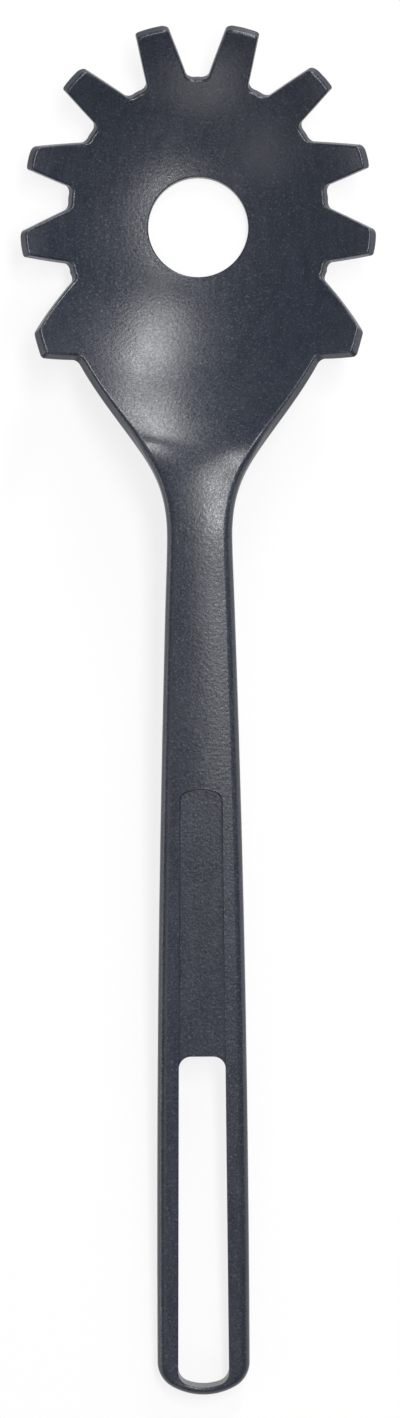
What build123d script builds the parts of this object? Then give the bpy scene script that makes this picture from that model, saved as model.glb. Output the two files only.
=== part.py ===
from build123d import *

import os
from dataclasses import dataclass
from math import asin, atan, atan2, cos, degrees, radians, sin, sqrt, tan

# Pasta server: one rigid moulding, split into regions that meet face to face.
# Millimetres. The origin is in the middle of the portion hole's lower rim, on the plane that the
# server lies on. +Y points to the teeth, the handle runs along -Y, and the bowl opens upwards.

# Head. Its plan is given as shares of the distance from its centre to the teeth's tips.
tooth_tip_radius = 44.6
bowl_radius_share = 1.435
wall = 2.8
portion_hole_radius = 12.4
hole_rim_round = 0.4
edge_round = 0.6

# Toothed outline, seen from above, about a centre that lies ahead of the hole
head_centre_share = 0.0785
notch_floor_share = 0.7265
# angles from straight ahead of each tooth's corners: upper root, upper tip, lower tip, lower root
tooth_angles = [
    (4.1, 9.4, 20.0, 22.6),
    (31.4, 39.7, 49.1, 50.3),
    (58.5, 69.9, 77.5, 79.7),
    (88.6, 97.8, 105.9, 113.3),
]
tooth_root_shares = [(1.003, 1.003), (1.003, 1.0), (1.0, 0.988), (0.988, 1.04)]
tooth_tip_shares = [(1.0, 1.002), (0.991, 0.984), (0.971, 0.967), (0.989, 1.002)]
notch_corner_round = 1.9
last_notch_corner_round = 1.5
upper_tip_round = 1.7
lower_tip_round = 0.8
notch_floor_bow = 0.45
last_notch_floor_bow = 1.0
tip_bow = 0.25
root_rise = 2.0

# Fin, the swept lowest tooth of each side
fin_root_angle = 118.7
fin_root_share = 1.083
fin_tip_angle = 128.0
fin_tip_share = 1.1457
fin_tip_round = 2.2
fin_span_share = 0.861
fin_level_share = 0.769
fin_heel_round = 0.7
fin_flank_bow = 0.5
fin_root_margin = 1.7

# Collar, the bowl's edge below the fins, which narrows towards the neck
collar_span_share = 0.6693
collar_round = 1.1
collar_far_span_share = 0.4596
collar_far_level_share = 1.0762
join_lean = 37.2

# Neck. Its pulls are shares of its run, and set how slowly it turns at each end.
neck_end_reach = 80.0
neck_start_pull_share = 0.39
neck_end_pull_share = 0.56
neck_end_half_width = 7.93
neck_end_flare_share = 0.034
neck_crown_radius = 48.0
neck_thickness = 8.5
# the hollow of the bowl turns into the grip's crown about here and over this much of the run
crown_turn_share = 0.57
crown_turn_run_share = 0.26

# Handle
handle_slope = 5.4
end_reach = 288.65
seam_half_width = 10.82
loop_crown_radius = 84.0
loop_thickness = 8.0
top_round = 2.5
base_round = 2.0

# Hanging loop
loop_length = 90.65
loop_half_width = 11.38
loop_side_bow = 0.15
loop_end_dome = 4.7
loop_corner_round = 7.0
slot_lead = 6.45
end_wall = 2.0
slot_half_width = 6.28
slot_corner_round = 3.0
slot_end_dome = 1.8
slot_end_round = 3.4
slot_edge_round = 0.4

# Thumb panel, a flat shallow recess that runs into the slot
panel_lead = 59.2
panel_half_width = 5.25
panel_arch = 1.5
panel_corner_round = 2.0
panel_depth = 1.0
panel_floor_round = 0.5

# Cutters run past what they cut by this much
overrun = 6.0
# The head's radial cutter runs between these shares of the outer radius
near_share = 0.4
far_share = 1.05
# Places closer than this share of a size count as the same, and edges are probed at these shares
match_share = 1e-5
probe_shares = (0.0, 0.3, 0.7, 1.0)
# Sections along the neck and along the shaft, and leans of the sections before the join
neck_steps = 16
shaft_steps = 10
lead_in_leans = (5.0, 2.5)

bowl_inner_radius = tooth_tip_radius * bowl_radius_share
bowl_outer_radius = bowl_inner_radius + wall
bowl_centre_height = sqrt(bowl_outer_radius**2 - portion_hole_radius**2)
head_centre_offset = tooth_tip_radius * head_centre_share
notch_floor_radius = tooth_tip_radius * notch_floor_share
fin_tip_radius = tooth_tip_radius * fin_tip_share
fin_half_span = tooth_tip_radius * fin_span_share
fin_level = tooth_tip_radius * fin_level_share
collar_half_width = tooth_tip_radius * collar_span_share
collar_far_half_width = tooth_tip_radius * collar_far_span_share
collar_far_level = tooth_tip_radius * collar_far_level_share
neck_run = neck_end_reach - bowl_inner_radius * sin(radians(join_lean))
neck_start_pull = neck_run * neck_start_pull_share
neck_end_pull = neck_run * neck_end_pull_share
seam_reach = end_reach - loop_length


def on_pattern(x, y):
    """Point of the plane under the sphere that lies behind the plan point, seen from the sphere's centre."""
    stretch = bowl_outer_radius / sqrt(bowl_outer_radius**2 - x**2 - y**2)
    return Vector(x * stretch, y * stretch, -bowl_outer_radius)


def pattern_stretch(x, y):
    """How much larger a small round is on the pattern plane than on the sphere."""
    return (bowl_outer_radius / sqrt(bowl_outer_radius**2 - x**2 - y**2)) ** 1.5


def around_head(angle, radius):
    """Plan point on the left at an angle from straight ahead, about the head's centre."""
    turn = radians(angle)
    return (-radius * sin(turn), head_centre_offset + radius * cos(turn))


def head_corners():
    """Corners of the head's left side from the top notch down: plan point, round, bow of the next edge."""
    corners = []
    last = len(tooth_angles) - 1
    for number, angles in enumerate(tooth_angles):
        upper_root_share, lower_root_share = tooth_root_shares[number]
        upper_tip_share, lower_tip_share = tooth_tip_shares[number]
        upper_root = around_head(angles[0], notch_floor_radius * upper_root_share)
        upper_tip = around_head(angles[1], tooth_tip_radius * upper_tip_share)
        lower_tip = around_head(angles[2], tooth_tip_radius * lower_tip_share)
        lower_root = around_head(angles[3], notch_floor_radius * lower_root_share)
        root_round = last_notch_corner_round if number == last else notch_corner_round
        floor_bow = last_notch_floor_bow if number == last else notch_floor_bow
        corners.append((upper_root, notch_corner_round, 0.0))
        corners.append((upper_tip, upper_tip_round, tip_bow))
        corners.append((lower_tip, lower_tip_round, 0.0))
        corners.append((lower_root, root_round, floor_bow))
    fin_root = around_head(fin_root_angle, notch_floor_radius * fin_root_share)
    fin_tip = around_head(fin_tip_angle, fin_tip_radius)
    corners.append((fin_root, last_notch_corner_round, fin_flank_bow))
    corners.append((fin_tip, fin_tip_round, 0.0))
    corners.append(((-fin_half_span, -fin_level), fin_heel_round, 0.0))
    corners.append(((-collar_half_width, -fin_level), collar_round, 0.0))
    corners.append(((-collar_far_half_width, -collar_far_level), 0.0, 0.0))
    return corners


def mirrored(corners, middle_bow):
    """The whole closed outline: the left side down, then the right side up to a bowed middle edge."""
    whole = list(corners)
    for index in range(len(corners) - 1, -1, -1):
        (x, y), corner_round, _ = corners[index]
        bow = corners[index - 1][2] if index else middle_bow
        whole.append(((-x, y), corner_round, bow))
    return whole


def pattern_edge(start, end, bow):
    """Edge of the pattern between two plan points, bowed outwards by a plan distance."""
    if not bow:
        return Line(on_pattern(*start), on_pattern(*end))
    along_x = end[0] - start[0]
    along_y = end[1] - start[1]
    length = sqrt(along_x**2 + along_y**2)
    middle_x = (start[0] + end[0]) / 2 + bow * along_y / length
    middle_y = (start[1] + end[1]) / 2 - bow * along_x / length
    return ThreePointArc(on_pattern(*start), on_pattern(middle_x, middle_y), on_pattern(*end))


def nearest_vertex(face, place):
    """The face's vertex that lies nearest to this place."""
    return min(face.vertices(), key=lambda vertex: (Vector(vertex.X, vertex.Y, vertex.Z) - place).length)


def head_pattern():
    """Face of the head's outline on the pattern plane, with its corners rounded."""
    whole = mirrored(head_corners(), notch_floor_bow)
    edges = []
    for index, (start, _, bow) in enumerate(whole):
        end = whole[(index + 1) % len(whole)][0]
        edges.append(pattern_edge(start, end, bow))
    pattern = make_face(edges)
    places_by_round = {}
    for (x, y), corner_round, _ in whole:
        if corner_round:
            stretched = round(corner_round * pattern_stretch(x, y), 1)
            places_by_round.setdefault(stretched, []).append(on_pattern(x, y))
    for stretched, places in sorted(places_by_round.items()):
        pattern = fillet([nearest_vertex(pattern, place) for place in places], stretched)
    return pattern


def radial_prism(pattern):
    """Solid swept by the pattern towards the sphere's centre, so that its walls are radial."""
    return loft([scale(pattern, by=near_share), scale(pattern, by=far_share)], ruled=True)


def lies_on_sphere(edge, radius):
    """True for an edge that stays at this distance from the sphere's centre."""
    nearly = radius * match_share
    return all(abs(edge.position_at(share).length - radius) < nearly for share in probe_shares)


def make_head():
    """Bowl wall with teeth and fins in one, edges rounded, with the portion hole through it."""
    shell = Sphere(bowl_outer_radius) - Sphere(bowl_inner_radius)
    head = shell & radial_prism(head_pattern())
    for radius in (bowl_inner_radius, bowl_outer_radius):
        head = fillet([edge for edge in head.edges() if lies_on_sphere(edge, radius)], edge_round)
    head -= Cylinder(portion_hole_radius, 2 * (bowl_outer_radius + overrun))
    rims = [edge for edge in head.edges() if edge.geom_type == GeomType.CIRCLE and edge.is_closed]
    upper_rim = max(rims, key=lambda edge: edge.center().Z)
    head = fillet(upper_rim, hole_rim_round)
    return Pos(0, 0, bowl_centre_height) * head


def root_prism():
    """Radial solid that holds the bowl and leaves out the teeth and fins."""
    rise_radius = notch_floor_radius + root_rise
    corners = [around_head(0.0, rise_radius)]
    for number, angles in enumerate(tooth_angles[:-1]):
        corners.append(around_head((angles[3] + tooth_angles[number + 1][0]) / 2, rise_radius))
    last_radius = notch_floor_radius * fin_root_share + last_notch_floor_bow / 2 + root_rise
    corners.append(around_head((tooth_angles[-1][3] + fin_root_angle) / 2, last_radius))
    outer_x = -collar_half_width - fin_root_margin
    corners.append((outer_x, -fin_level - fin_root_margin))
    corners.append((outer_x, -collar_far_level - fin_root_margin))
    right = [(-x, y) for x, y in corners[1:]]
    whole = corners + right[::-1]
    edges = [pattern_edge(start, end, 0.0) for start, end in zip(whole, whole[1:] + whole[:1])]
    return Pos(0, 0, bowl_centre_height) * radial_prism(make_face(edges))


def ring_plane(lean):
    """Plane across the bowl's wall through the sphere's centre, on the crown's middle line."""
    turn = radians(lean)
    apex = (0, -bowl_inner_radius * sin(turn), bowl_centre_height - bowl_inner_radius * cos(turn))
    return Plane(origin=apex, x_dir=(1, 0, 0), z_dir=(0, -cos(turn), sin(turn)))


def edge_angle(lean):
    """Angle of the collar's edge off the middle line in the ring plane at this lean, in radians."""
    near = on_pattern(collar_half_width, -fin_level)
    far = on_pattern(collar_far_half_width, -collar_far_level)
    depth = -bowl_outer_radius * tan(radians(lean))
    across = near.X + (far.X - near.X) * (depth - near.Y) / (far.Y - near.Y)
    return atan(across * cos(radians(lean)) / bowl_outer_radius)


@dataclass
class Profile:
    """Cross-section of the bar. Rises are heights of the sides above the middle."""

    crown_half: float
    crown_rise: float
    crown_reach: float
    base_half: float
    base_rise: float
    base_reach: float
    thickness: float


def ring_profile(lean):
    """Cross-section of the bowl's wall in the ring plane at this lean, with its rounded edges."""
    edge = edge_angle(lean)
    inner = edge - asin(edge_round / (bowl_inner_radius + edge_round))
    outer = edge - asin(edge_round / (bowl_outer_radius - edge_round))
    return Profile(
        crown_half=bowl_inner_radius * sin(inner),
        crown_rise=bowl_inner_radius * (1 - cos(inner)),
        crown_reach=bowl_inner_radius * tan(edge - inner),
        base_half=bowl_outer_radius * sin(outer),
        base_rise=bowl_outer_radius * (1 - cos(outer)),
        base_reach=bowl_outer_radius * tan(edge - outer),
        thickness=wall,
    )


def grip_profile(half_width, crown_radius, thickness):
    """Cross-section of the grip: crowned top, upright sides and flat base, with rounded corners."""
    crown = asin((half_width - top_round) / (crown_radius - top_round))
    return Profile(
        crown_half=crown_radius * sin(crown),
        crown_rise=-crown_radius * (1 - cos(crown)),
        crown_reach=top_round * tan(radians(45) - crown / 2),
        base_half=half_width - base_round,
        base_rise=0.0,
        base_reach=base_round,
        thickness=thickness,
    )


def bezier(values, share):
    """Value of a Bezier curve with these control values at a share of its run."""
    if len(values) == 1:
        return values[0]
    shorter = [near * (1 - share) + far * share for near, far in zip(values, values[1:])]
    return bezier(shorter, share)


def round_corner(start, corner, end, turn):
    """Curve close to an arc that turns by this angle, in place of a sharp corner."""
    pull_share = 4 / 3 * tan(turn / 4) / tan(turn / 2)
    return Bezier(start, start + (corner - start) * pull_share, end + (corner - end) * pull_share, end)


def bar_section(plane, profile):
    """Closed section with the crown's middle on the plane's origin."""
    crown_lean = -2 * atan(profile.crown_rise / profile.crown_half)
    base_lean = 2 * atan(profile.base_rise / profile.base_half)
    crown_pull = 2 / 3 * (profile.crown_half**2 + profile.crown_rise**2) / profile.crown_half
    base_pull = 2 / 3 * (profile.base_half**2 + profile.base_rise**2) / profile.base_half
    crown_way = Vector(cos(crown_lean), -sin(crown_lean))
    base_way = Vector(cos(base_lean), sin(base_lean))
    crown_end = Vector(profile.crown_half, profile.crown_rise)
    base_end = Vector(profile.base_half, profile.base_rise - profile.thickness)
    crown_corner = crown_end + crown_way * profile.crown_reach
    base_corner = base_end + base_way * profile.base_reach
    side_way = (base_corner - crown_corner).normalized()
    side_top = crown_corner + side_way * profile.crown_reach
    side_foot = base_corner - side_way * profile.base_reach
    crown_turn = radians(crown_way.get_angle(side_way))
    base_turn = radians(base_way.get_angle(side_way * -1))

    def across(point):
        return Vector(-point.X, point.Y)

    crown_left = across(crown_end)
    base_left = across(base_end)
    crown_control = crown_end - crown_way * crown_pull
    base_control = base_end - base_way * base_pull
    edges = [
        Bezier(crown_left, across(crown_control), crown_control, crown_end),
        round_corner(crown_end, crown_corner, side_top, crown_turn),
        Line(side_top, side_foot),
        round_corner(side_foot, base_corner, base_end, base_turn),
        Bezier(base_end, base_control, across(base_control), base_left),
        round_corner(base_left, across(base_corner), across(side_foot), base_turn),
        Line(across(side_foot), across(side_top)),
        round_corner(across(side_top), across(crown_corner), crown_left, crown_turn),
    ]
    return plane * make_face(edges)


def handle_height():
    """Height of the crown where the neck ends, so that the loop's rounded end rests on the ground."""
    slope = radians(handle_slope)
    run = end_reach - base_round - neck_end_reach
    return run * tan(slope) + (loop_thickness - base_round) / cos(slope) + base_round


def grip_plane(apex=(0, 0, 0)):
    """Plane across the grip with the crown's middle line through this point."""
    slope = radians(handle_slope)
    return Plane(origin=apex, x_dir=(1, 0, 0), z_dir=(0, -cos(slope), -sin(slope)))


def grip_plane_at(reach):
    """Plane across the grip at this distance from the hole's axis."""
    drop = (reach - neck_end_reach) * tan(radians(handle_slope))
    return grip_plane((0, -reach, handle_height() - drop))


def seam_flare_share():
    """Growth of the half-width per length where the shaft meets the loop's bowed side."""
    return (loop_half_width - seam_half_width + 4 * loop_side_bow) / (loop_length - loop_end_dome)


def grip_profile_at(reach):
    """Cross-section of the grip at this distance from the hole's axis."""
    run = seam_reach - neck_end_reach
    share = (reach - neck_end_reach) / run
    if share > 1:
        half_width = seam_half_width + seam_flare_share() * (reach - seam_reach)
        return grip_profile(half_width, loop_crown_radius, loop_thickness)
    near_pull = neck_end_half_width + neck_end_flare_share * run / 3
    far_pull = seam_half_width - seam_flare_share() * run / 3
    half_width = bezier([neck_end_half_width, near_pull, far_pull, seam_half_width], share)
    crown_bend = bezier([1 / neck_crown_radius] * 2 + [1 / loop_crown_radius] * 2, share)
    thickness = bezier([neck_thickness] * 2 + [loop_thickness] * 2, share)
    return grip_profile(half_width, 1 / crown_bend, thickness)


def neck_plane(share):
    """Plane across the neck at a share of its run, on the crown's middle line."""
    start = ring_plane(join_lean)
    end = grip_plane_at(neck_end_reach)
    controls = [
        start.origin,
        start.origin + start.z_dir * neck_start_pull,
        end.origin - end.z_dir * neck_end_pull,
        end.origin,
    ]
    apex = bezier(controls, share)
    steps = [far - near for near, far in zip(controls, controls[1:])]
    return Plane(origin=apex, x_dir=(1, 0, 0), z_dir=bezier(steps, share))


def neck_crown_bend(share):
    """Bend of the crown at a share of the neck's run: hollow as in the bowl, then crowned as on the grip."""
    turned = min(max((share - crown_turn_share) / crown_turn_run_share + 1 / 2, 0), 1)
    return bezier([1 / bowl_inner_radius] * 2 + [-1 / neck_crown_radius] * 2, turned)


def neck_profile(share):
    """Cross-section of the neck at a share of its run: from the bowl's wall to the grip."""
    start = ring_profile(join_lean)
    end = grip_profile_at(neck_end_reach)
    narrowing = (edge_angle(join_lean) - edge_angle(join_lean + 1)) / radians(1)
    edge = edge_angle(join_lean)
    start_slope = {
        "crown_half": -narrowing * cos(edge),
        "base_half": -narrowing * cos(edge) * bowl_outer_radius / bowl_inner_radius,
        "base_rise": -narrowing * sin(edge) * bowl_outer_radius / bowl_inner_radius,
    }
    end_slope = {"crown_half": neck_end_flare_share, "base_half": neck_end_flare_share}
    values = {}
    for name in vars(start):
        near = getattr(start, name)
        far = getattr(end, name)
        near_control = near + start_slope.get(name, 0.0) * neck_start_pull
        far_control = far - end_slope.get(name, 0.0) * neck_end_pull
        values[name] = bezier([near, near_control, far_control, far], share)
    crown_half = values["crown_half"]
    values["crown_rise"] = crown_half * tan(asin(crown_half * neck_crown_bend(share)) / 2)
    return Profile(**values)


def make_bar():
    """Neck and shaft in one, a little longer than both at each end."""
    sections = []
    for lean in lead_in_leans:
        sections.append(bar_section(ring_plane(join_lean - lean), ring_profile(join_lean - lean)))
    for step in range(neck_steps + 1):
        share = step / neck_steps
        sections.append(bar_section(neck_plane(share), neck_profile(share)))
    run = seam_reach - neck_end_reach
    for step in range(1, shaft_steps + 1):
        reach = neck_end_reach + run * step / shaft_steps
        sections.append(bar_section(grip_plane_at(reach), grip_profile_at(reach)))
    past_seam = seam_reach + overrun
    sections.append(bar_section(grip_plane_at(past_seam), grip_profile_at(past_seam)))
    return loft(sections)


def trimmed(solid, near_plane, far_plane):
    """What lies between two planes that both look towards the handle's end."""
    beyond = split(solid, bisect_by=near_plane, keep=Keep.TOP)
    return split(beyond, bisect_by=far_plane, keep=Keep.BOTTOM)


def slot_side(past_seam):
    """Half-width of the slot and of the panel before it, which share one straight side."""
    top = panel_arch - panel_lead
    run = loop_length - end_wall - slot_end_dome - top
    return panel_half_width + (slot_half_width - panel_half_width) * (past_seam - top) / run


def upright_prism(outline):
    """Solid over a plan outline near the seam, past the handle's top and underside."""
    drop = (loop_length + panel_lead) * tan(radians(handle_slope))
    return extrude(outline, drop + loop_thickness + overrun, dir=(0, 0, 1), both=True)


def bowed_edge(start, end, bow):
    """Edge between two points that bows to the right of its way, or a line where the bow is zero."""
    if not bow:
        return Line(start, end)
    way = (end - start).normalized()
    return ThreePointArc(start, (start + end) / 2 + Vector(way.Y, -way.X) * bow, end)


def mirrored_outline(places, side_bows, foot_bow, top_bow):
    """Plan face whose left corners are given from the back to the foot, with the same on the right."""
    left = [Vector(*place) for place in places]
    right = [Vector(-place.X, place.Y) for place in reversed(left)]
    whole = left + right
    bows = side_bows + [foot_bow] + side_bows[::-1] + [top_bow]
    edges = [bowed_edge(start, end, bow) for start, end, bow in zip(whole, whole[1:] + whole[:1], bows)]
    return make_face(edges)


def panel_cutter():
    """The thumb panel's recess with its flat floor, running into the slot, with the seam at the origin."""
    top = panel_arch - panel_lead
    foot = slot_lead + slot_corner_round + overrun
    places = [(-slot_side(top), -top), (-slot_side(foot), -foot)]
    outline = mirrored_outline(places, [0.0], 0.0, panel_arch)
    outline = fillet(outline.vertices().sort_by(Axis.Y)[-2:], panel_corner_round)
    up = grip_plane().y_dir
    floor_plane = Plane(origin=up * -panel_depth, x_dir=(1, 0, 0), z_dir=up)
    cutter = split(upright_prism(outline), bisect_by=floor_plane, keep=Keep.TOP)
    floor = min(cutter.faces(), key=lambda face: abs(floor_plane.to_local_coords(face.center()).Z))
    foot_edge = min(floor.edges(), key=lambda edge: edge.center().Y)
    return fillet([edge for edge in floor.edges() if edge != foot_edge], panel_floor_round)


def slot_cutter():
    """The hanging slot, upright and wider towards the handle's end, with the seam at the origin."""
    foot = loop_length - end_wall - slot_end_dome
    places = [(-slot_side(slot_lead), -slot_lead), (-slot_side(foot), -foot)]
    outline = mirrored_outline(places, [0.0], slot_end_dome, 0.0)
    outline = fillet(outline.vertices().sort_by(Axis.Y)[-2:], slot_corner_round)
    outline = fillet(outline.vertices().sort_by(Axis.Y)[:2], slot_end_round)
    return upright_prism(outline)


def make_loop():
    """The handle's end with its slot, from a little before the seam, with the seam at the origin."""
    seam = grip_plane()
    foot = loop_length - loop_end_dome
    back_half = seam_half_width - seam_flare_share() * overrun
    places = [(-back_half, overrun), (-seam_half_width, 0), (-loop_half_width, -foot)]
    plan = mirrored_outline(places, [0.0, loop_side_bow], loop_end_dome, 0.0)
    plan = fillet(plan.vertices().sort_by(Axis.Y)[:2], loop_corner_round)
    slab_half = loop_half_width + overrun
    slab_drop = loop_crown_radius - sqrt(loop_crown_radius**2 - slab_half**2)
    top_left = (-slab_half, -slab_drop)
    top_right = (slab_half, -slab_drop)
    foot_right = (slab_half, -loop_thickness)
    foot_left = (-slab_half, -loop_thickness)
    crown = ThreePointArc(top_left, (0, 0), top_right)
    section = make_face([crown, Polyline(top_right, foot_right, foot_left, top_left)])
    slab = extrude(seam * section, loop_length + overrun, both=True)
    body = upright_prism(plan) & slab
    for side, corner_round in ((1, top_round), (-1, base_round)):
        face = max(body.faces(), key=lambda face: side * face.center().dot(seam.y_dir))
        edges = sorted(face.edges(), key=lambda edge: edge.center().Y)
        body = fillet(edges[:-1], corner_round)
    slot = slot_cutter()
    pierced = body - slot
    cut_edges = new_edges(body, slot, combined=pierced)
    rims = [edge for edge in cut_edges if abs((edge @ 1 - edge @ 0).Z) < edge.length / 2]
    return fillet(rims, slot_edge_round)


def tooth_name(solid):
    """Node name of a tooth or fin from its place about the head's centre."""
    place = solid.center()
    side = "left" if place.X < 0 else "right"
    angle = degrees(atan2(abs(place.X), place.Y - head_centre_offset))
    for number, angles in enumerate(tooth_angles, start=1):
        if angles[0] < angle < angles[3]:
            return f"tooth_{side}_{number}"
    return f"fin_{side}"


def make_parts():
    """All nodes of the server by name."""
    head = make_head()
    core = root_prism()
    join = ring_plane(join_lean)
    neck_end = grip_plane_at(neck_end_reach)
    seam = grip_plane_at(seam_reach)
    bar = make_bar()
    recess = panel_cutter()
    loop = split(make_loop(), bisect_by=grip_plane(), keep=Keep.TOP) - recess
    parts = {"bowl": split(head & core, bisect_by=join, keep=Keep.BOTTOM)}
    for solid in (head - core).solids():
        parts[tooth_name(solid)] = solid
    parts["neck"] = trimmed(bar, join, neck_end)
    parts["handle_shaft"] = trimmed(bar, neck_end, seam) - Pos(seam.origin) * recess
    parts["hanging_loop"] = Pos(seam.origin) * loop
    return parts


os.makedirs("parts", exist_ok=True)
for name, shape in make_parts().items():
    export_step(shape, f"parts/{name}.step")
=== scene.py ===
from math import radians

import bmesh
import bpy
from mathutils import Matrix, Vector

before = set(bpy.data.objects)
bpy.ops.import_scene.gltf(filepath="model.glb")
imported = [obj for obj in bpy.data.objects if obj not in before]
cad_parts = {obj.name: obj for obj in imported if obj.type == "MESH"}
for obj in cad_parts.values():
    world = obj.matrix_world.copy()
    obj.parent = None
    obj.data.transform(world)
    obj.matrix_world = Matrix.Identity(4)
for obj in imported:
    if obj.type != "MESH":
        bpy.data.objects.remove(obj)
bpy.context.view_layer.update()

bl_info = {
    "name": "Pasta Server",
    "version": (1, 0, 0),
    "blender": (4, 5, 0),
    "location": "3D View > Sidebar > Pasta Server",
    "description": "Finish, lights and camera for a moulded nylon pasta server",
    "category": "Object",
}

MM = 0.001
HEAD_REGIONS = ("bowl", "tooth_", "fin_")
HANDLE_REGIONS = ("neck", "handle_", "hanging_")
CLOUD_GLOSS_CHANGE = 0.03
GRAIN_GLOSS_CHANGE = 0.09
FLOOR_HALF_WIDTH = 30.0
FLOOR_GAP = 0.1 * MM


def linear(code):
    """Linear colour with full alpha from an sRGB hex value."""
    shares = [int(code[start:start + 2], 16) / 255 for start in (0, 2, 4)]
    return (*(s / 12.92 if s <= 0.04045 else ((s + 0.055) / 1.055) ** 2.4 for s in shares), 1.0)


def add_node(tree, kind, values=(), links=(), **settings):
    """Adds a node with its settings, its input values and its links from other nodes' outputs."""
    node = tree.nodes.new(kind)
    for name, value in settings.items():
        setattr(node, name, value)
    for socket, value in dict(values).items():
        node.inputs[socket].default_value = value
    for socket, source in dict(links).items():
        tree.links.new(source, node.inputs[socket])
    return node


class ServerMoulding(bpy.types.PropertyGroup):
    """Colours and grain of the moulded nylon."""

    nylon_colour: bpy.props.FloatVectorProperty(
        name="Nylon", description="Colour of the filled nylon",
        subtype="COLOR", size=4, min=0.0, max=1.0, default=linear("202530"),
    )
    fibre_colour: bpy.props.FloatVectorProperty(
        name="Fibre Streaks", description="Colour where glass fibre comes near the surface",
        subtype="COLOR", size=4, min=0.0, max=1.0, default=linear("292e39"),
    )
    # Painted glints: this pale colour lightens the tops of the grain's fine noise in the base colour,
    # standing in for light caught by the facets.
    painted_glint_colour: bpy.props.FloatVectorProperty(
        name="Flecks", description="Colour of the brightest flecks of the grain",
        subtype="COLOR", size=4, min=0.0, max=1.0, default=linear("5a616e"),
    )
    grain_width: bpy.props.FloatProperty(
        name="Grain Width", description="Width of one crater of the spark-eroded surface",
        subtype="DISTANCE", unit="LENGTH", default=0.8 * MM, min=0.05 * MM, precision=5,
    )
    grain_depth: bpy.props.FloatProperty(
        name="Grain Depth", description="Depth of one crater of the spark-eroded surface",
        subtype="DISTANCE", unit="LENGTH", default=0.05 * MM, min=0.0, precision=6,
    )
    roughness: bpy.props.FloatProperty(
        name="Roughness", description="Mean roughness of the satin surface",
        subtype="FACTOR", default=0.33, min=0.0, max=1.0,
    )


class ServerStudio(bpy.types.PropertyGroup):
    """Camera, lights and floor."""

    camera_height: bpy.props.FloatProperty(
        name="Camera Height", description="Height of the camera above the floor",
        subtype="DISTANCE", unit="LENGTH", default=1.0, min=0.1,
    )
    picture_length: bpy.props.FloatProperty(
        name="Picture Length", description="Length on the floor that the picture's long side takes in",
        subtype="DISTANCE", unit="LENGTH", default=352.118 * MM, min=0.01,
    )
    picture_middle: bpy.props.FloatVectorProperty(
        name="Picture Middle", description="Place on the floor in the middle of the picture",
        subtype="XYZ", unit="LENGTH", size=2, default=(-0.124 * MM, -119.38 * MM),
    )
    picture_turn: bpy.props.FloatProperty(
        name="Picture Turn", description="Turn of the camera about its line of sight",
        subtype="ANGLE", unit="ROTATION", default=radians(-0.273),
    )
    floor_colour: bpy.props.FloatVectorProperty(
        name="Floor", description="Colour of the floor that the server lies on",
        subtype="COLOR", size=4, min=0.0, max=1.0, default=linear("f2f2f2"),
    )
    front_power: bpy.props.FloatProperty(
        name="Front Light", description="Power of the upright strip softbox ahead of the teeth",
        unit="POWER", default=4.8, min=0.0,
    )
    top_power: bpy.props.FloatProperty(
        name="Top Light", description="Power of the strip softbox above the server, along its right side",
        unit="POWER", default=7.8, min=0.0,
    )
    side_power: bpy.props.FloatProperty(
        name="Side Light", description="Power of the low strip softbox on the left; the right one has half",
        unit="POWER", default=1.6, min=0.0,
    )
    fill_power: bpy.props.FloatProperty(
        name="Fill Light", description="Power of the softbox beyond the handle; the upper left has a third",
        unit="POWER", default=1.5, min=0.0,
    )
    room_strength: bpy.props.FloatProperty(
        name="Room Light", description="Strength of the even light from all round", default=0.25, min=0.0,
    )


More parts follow.
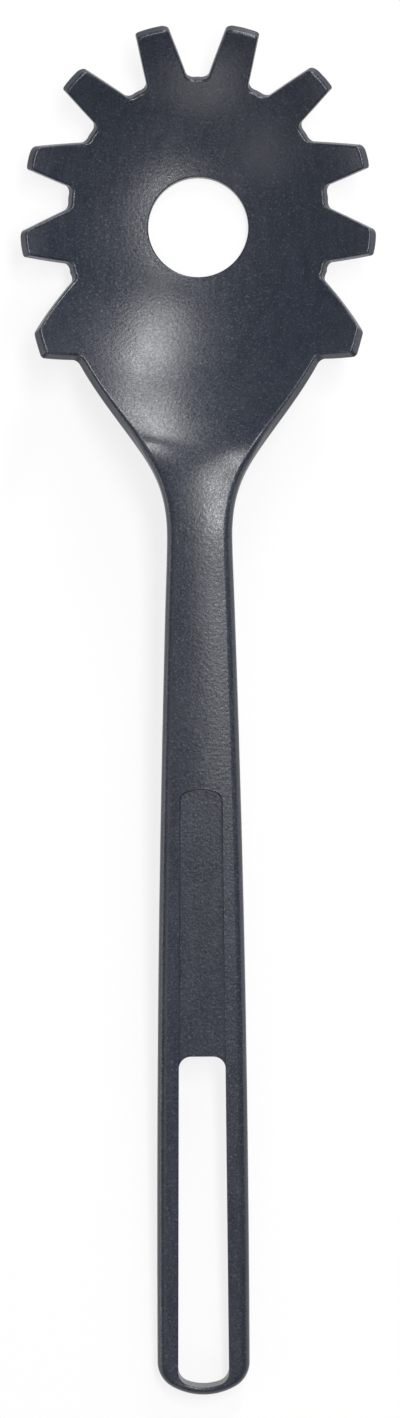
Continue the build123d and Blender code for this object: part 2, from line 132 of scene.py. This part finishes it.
def moulded_nylon(looks):
    """Nylon 66 with glass fibre, injection moulded in a spark-eroded mould.

    The nylon is dark blue-grey all through. The mould's craters give it a satin grain, which breaks each
    highlight up into fine flecks.
    Pale painted glints on the tops of the fine noise add to these flecks in the base colour, and the fibre
    leaves faint streaks along the melt's flow.
    """
    material = bpy.data.materials.new("nylon_66_spark_eroded")
    material.use_nodes = True
    tree = material.node_tree
    tree.nodes.clear()
    place = add_node(tree, "ShaderNodeTexCoord").outputs["Object"]

    # Fibre streaks, about 2 mm across and 14 mm long, lie along the handle.
    stretched = add_node(
        tree, "ShaderNodeMapping", {"Scale": (1 / (2 * MM), 1 / (14 * MM), 1 / (2 * MM))}, {"Vector": place},
    )
    streaks = add_node(
        tree, "ShaderNodeTexNoise", {"Scale": 1.0, "Detail": 3.0, "Roughness": 0.55},
        {"Vector": stretched.outputs["Vector"]},
    )
    streak_share = add_node(
        tree, "ShaderNodeMapRange", {"From Min": 0.35, "From Max": 0.7}, {"Value": streaks.outputs["Fac"]},
    )
    nylon = add_node(
        tree, "ShaderNodeMix", {"A": looks.nylon_colour, "B": looks.fibre_colour},
        {"Factor": streak_share.outputs["Result"]}, data_type="RGBA",
    )

    # Craters: the real mottle is 0.3 to 0.5 mm wide, drawn coarser, at the grain width, so that it shows.
    craters = add_node(
        tree, "ShaderNodeTexVoronoi", {"Scale": 1 / looks.grain_width, "Smoothness": 0.5},
        {"Vector": place}, feature="SMOOTH_F1",
    )
    fine = add_node(
        tree, "ShaderNodeTexNoise", {"Scale": 1.6 / looks.grain_width, "Detail": 2.0, "Roughness": 0.6},
        {"Vector": place},
    )
    grain = add_node(
        tree, "ShaderNodeMix", {"Factor": 0.5},
        {"A": craters.outputs["Distance"], "B": fine.outputs["Fac"]}, data_type="FLOAT",
    )

    # Painted glints: the tops of the fine noise are lightened towards a pale colour in the base colour,
    # which paints the light caught by the grain's facets.
    painted_glint_share = add_node(
        tree, "ShaderNodeMapRange", {"From Min": 0.58, "From Max": 0.8, "To Max": 0.7},
        {"Value": fine.outputs["Fac"]},
    )
    colour = add_node(
        tree, "ShaderNodeMix", {"B": looks.painted_glint_colour},
        {"Factor": painted_glint_share.outputs["Result"], "A": nylon.outputs["Result"]}, data_type="RGBA",
    )

    # Gloss varies a little from crater to crater and in soft clouds about 9 mm across.
    clouds = add_node(
        tree, "ShaderNodeTexNoise", {"Scale": 1 / (9 * MM), "Detail": 2.0}, {"Vector": place},
    )
    cloud_gloss = add_node(
        tree, "ShaderNodeMapRange",
        {
            "From Min": 0.3, "From Max": 0.7,
            "To Min": looks.roughness - CLOUD_GLOSS_CHANGE,
            "To Max": looks.roughness + CLOUD_GLOSS_CHANGE,
        },
        {"Value": clouds.outputs["Fac"]},
    )
    grain_gloss = add_node(
        tree, "ShaderNodeMapRange",
        {"From Min": 0.3, "From Max": 0.7, "To Min": -GRAIN_GLOSS_CHANGE, "To Max": GRAIN_GLOSS_CHANGE},
        {"Value": fine.outputs["Fac"]},
    )
    roughness = add_node(
        tree, "ShaderNodeMath", (),
        {0: cloud_gloss.outputs["Result"], 1: grain_gloss.outputs["Result"]}, operation="ADD",
    )

    bump = add_node(
        tree, "ShaderNodeBump", {"Strength": 1.0, "Distance": looks.grain_depth},
        {"Height": grain.outputs["Result"]},
    )
    shader = add_node(
        tree, "ShaderNodeBsdfPrincipled", {"IOR": 1.53},
        {
            "Base Color": colour.outputs["Result"],
            "Roughness": roughness.outputs["Value"],
            "Normal": bump.outputs["Normal"],
        },
    )
    add_node(tree, "ShaderNodeOutputMaterial", (), {"Surface": shader.outputs["BSDF"]})
    return material


def studio_floor(studio):
    """Pale matte board that shows white and keeps the server's soft shadow.

    A part of what the camera and the gloss see is plain white, and the rest is the lit board.
    """
    material = bpy.data.materials.new("white_matte_board")
    material.use_nodes = True
    tree = material.node_tree
    tree.nodes.clear()
    rays = add_node(tree, "ShaderNodeLightPath")
    seen = add_node(
        tree, "ShaderNodeMath", (),
        {0: rays.outputs["Is Camera Ray"], 1: rays.outputs["Is Glossy Ray"]}, operation="MAXIMUM",
    )
    seen_through = add_node(
        tree, "ShaderNodeMath", (),
        {0: seen.outputs["Value"], 1: rays.outputs["Is Transmission Ray"]}, operation="MAXIMUM",
    )
    share = add_node(
        tree, "ShaderNodeMath", {1: 0.8}, {0: seen_through.outputs["Value"]}, operation="MULTIPLY",
    )
    board = add_node(tree, "ShaderNodeBsdfDiffuse", {"Color": studio.floor_colour})
    white = add_node(tree, "ShaderNodeEmission", {"Strength": 1.0})
    mixed = add_node(
        tree, "ShaderNodeMixShader", (),
        {0: share.outputs["Value"], 1: board.outputs["BSDF"], 2: white.outputs["Emission"]},
    )
    add_node(tree, "ShaderNodeOutputMaterial", (), {"Surface": mixed.outputs["Shader"]})
    return material


def finish_regions(starts, material):
    """Puts the finish on the CAD regions whose names start with one of these words."""
    regions = [region for name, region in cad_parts.items() if name.startswith(starts)]
    if not regions:
        raise RuntimeError(f"the frame has no region named {starts}")
    for region in regions:
        region.data.materials.clear()
        region.data.materials.append(material)


def nylon():
    """The one nylon of the whole moulding, made when it is first asked for."""
    made = bpy.data.materials.get("nylon_66_spark_eroded")
    return made or moulded_nylon(bpy.context.scene.server_moulding)


def softbox(name, place, target, along, width, length, power):
    """Adds a rectangular soft light that faces a target, with its length along a direction."""
    lamp = bpy.data.lights.new(name, "AREA")
    lamp.shape = "RECTANGLE"
    lamp.size = width
    lamp.size_y = length
    lamp.energy = power
    back = (Vector(place) - Vector(target)).normalized()
    across = Vector(along).cross(back).normalized()
    light = bpy.data.objects.new(name, lamp)
    light.location = place
    light.rotation_euler = Matrix((across, back.cross(across), back)).transposed().to_euler()
    bpy.context.scene.collection.objects.link(light)


class SERVER_OT_head(bpy.types.Operator):
    """Finishes the bowl, its teeth and the two fins in moulded nylon"""

    bl_idname = "server.head"
    bl_label = "Finish Head"

    def execute(self, context):
        finish_regions(HEAD_REGIONS, nylon())
        return {"FINISHED"}


class SERVER_OT_handle(bpy.types.Operator):
    """Finishes the neck, the handle's shaft and the hanging loop in moulded nylon"""

    bl_idname = "server.handle"
    bl_label = "Finish Handle"

    def execute(self, context):
        finish_regions(HANDLE_REGIONS, nylon())
        return {"FINISHED"}


class SERVER_OT_stage(bpy.types.Operator):
    """Adds the floor, the soft lights and the camera above the middle of the server"""

    bl_idname = "server.stage"
    bl_label = "Set Stage"

    def execute(self, context):
        studio = context.scene.server_studio
        self.add_floor(studio)
        self.add_lights(studio)
        self.add_camera(studio)
        context.scene.view_settings.view_transform = "Standard"
        return {"FINISHED"}

    def add_floor(self, studio):
        mesh = bpy.data.meshes.new("floor")
        sheet = bmesh.new()
        bmesh.ops.create_grid(sheet, x_segments=1, y_segments=1, size=FLOOR_HALF_WIDTH)
        bmesh.ops.translate(sheet, verts=sheet.verts, vec=(0.0, studio.picture_middle[1], -FLOOR_GAP))
        sheet.to_mesh(mesh)
        sheet.free()
        floor = bpy.data.objects.new("floor", mesh)
        mesh.materials.append(studio_floor(studio))
        bpy.context.scene.collection.objects.link(floor)

    def add_lights(self, studio):
        middle = (0.0, studio.picture_middle[1], 0.0)
        softbox("front_strip", (0.22, 0.68, 0.36), middle, (0, 0, 1), 0.18, 0.6, studio.front_power)
        softbox("top_strip", (0.19, 0.08, 1.03), middle, (0, 1, 0), 0.18, 0.6, studio.top_power)
        softbox("fill_softbox", (-0.05, -0.90, 0.62), middle, (0, 1, 0), 0.4, 0.4, studio.fill_power)
        softbox("upper_left", (-0.48, -0.40, 0.80), middle, (0, 1, 0), 0.3, 0.3, studio.fill_power / 3)
        softbox("left_strip", (-0.88, -0.30, 0.10), middle, (0, 1, 0), 0.15, 0.8, studio.side_power)
        softbox("right_strip", (0.89, -0.10, 0.10), middle, (0, 1, 0), 0.15, 0.8, studio.side_power / 2)
        world = bpy.data.worlds.new("studio")
        world.use_nodes = True
        tree = world.node_tree
        tree.nodes.clear()
        room = add_node(tree, "ShaderNodeBackground", {"Strength": studio.room_strength})
        add_node(tree, "ShaderNodeOutputWorld", (), {"Surface": room.outputs["Background"]})
        bpy.context.scene.world = world

    def add_camera(self, studio):
        lens = bpy.data.cameras.new("camera")
        lens.sensor_fit = "AUTO"
        lens.sensor_width = 36.0
        lens.lens = lens.sensor_width * studio.camera_height / studio.picture_length
        lens.clip_start = 0.01
        camera = bpy.data.objects.new("camera", lens)
        camera.location = (*studio.picture_middle, studio.camera_height)
        camera.rotation_euler = (0.0, 0.0, studio.picture_turn)
        bpy.context.scene.collection.objects.link(camera)
        bpy.context.scene.camera = camera


class SERVER_PT_panel(bpy.types.Panel):
    """Lists the sizes, colours and steps of the pasta server"""

    bl_idname = "SERVER_PT_panel"
    bl_label = "Pasta Server"
    bl_space_type = "VIEW_3D"
    bl_region_type = "UI"
    bl_category = "Pasta Server"

    def draw(self, context):
        for group in (context.scene.server_moulding, context.scene.server_studio):
            box = self.layout.box()
            for name in group.bl_rna.properties.keys():
                if name not in ("rna_type", "name"):
                    box.prop(group, name)
        for operator in OPERATORS:
            self.layout.operator(operator.bl_idname)


GROUPS = (ServerMoulding, ServerStudio)
OPERATORS = (SERVER_OT_head, SERVER_OT_handle, SERVER_OT_stage)


def register():
    for cls in (*GROUPS, *OPERATORS, SERVER_PT_panel):
        bpy.utils.register_class(cls)
    bpy.types.Scene.server_moulding = bpy.props.PointerProperty(type=ServerMoulding)
    bpy.types.Scene.server_studio = bpy.props.PointerProperty(type=ServerStudio)


def unregister():
    del bpy.types.Scene.server_studio
    del bpy.types.Scene.server_moulding
    for cls in reversed((*GROUPS, *OPERATORS, SERVER_PT_panel)):
        bpy.utils.unregister_class(cls)


def main():
    """Builds the whole scene."""
    register()
    bpy.ops.server.head()
    bpy.ops.server.handle()
    bpy.ops.server.stage()


if __name__ == "__main__":
    main()
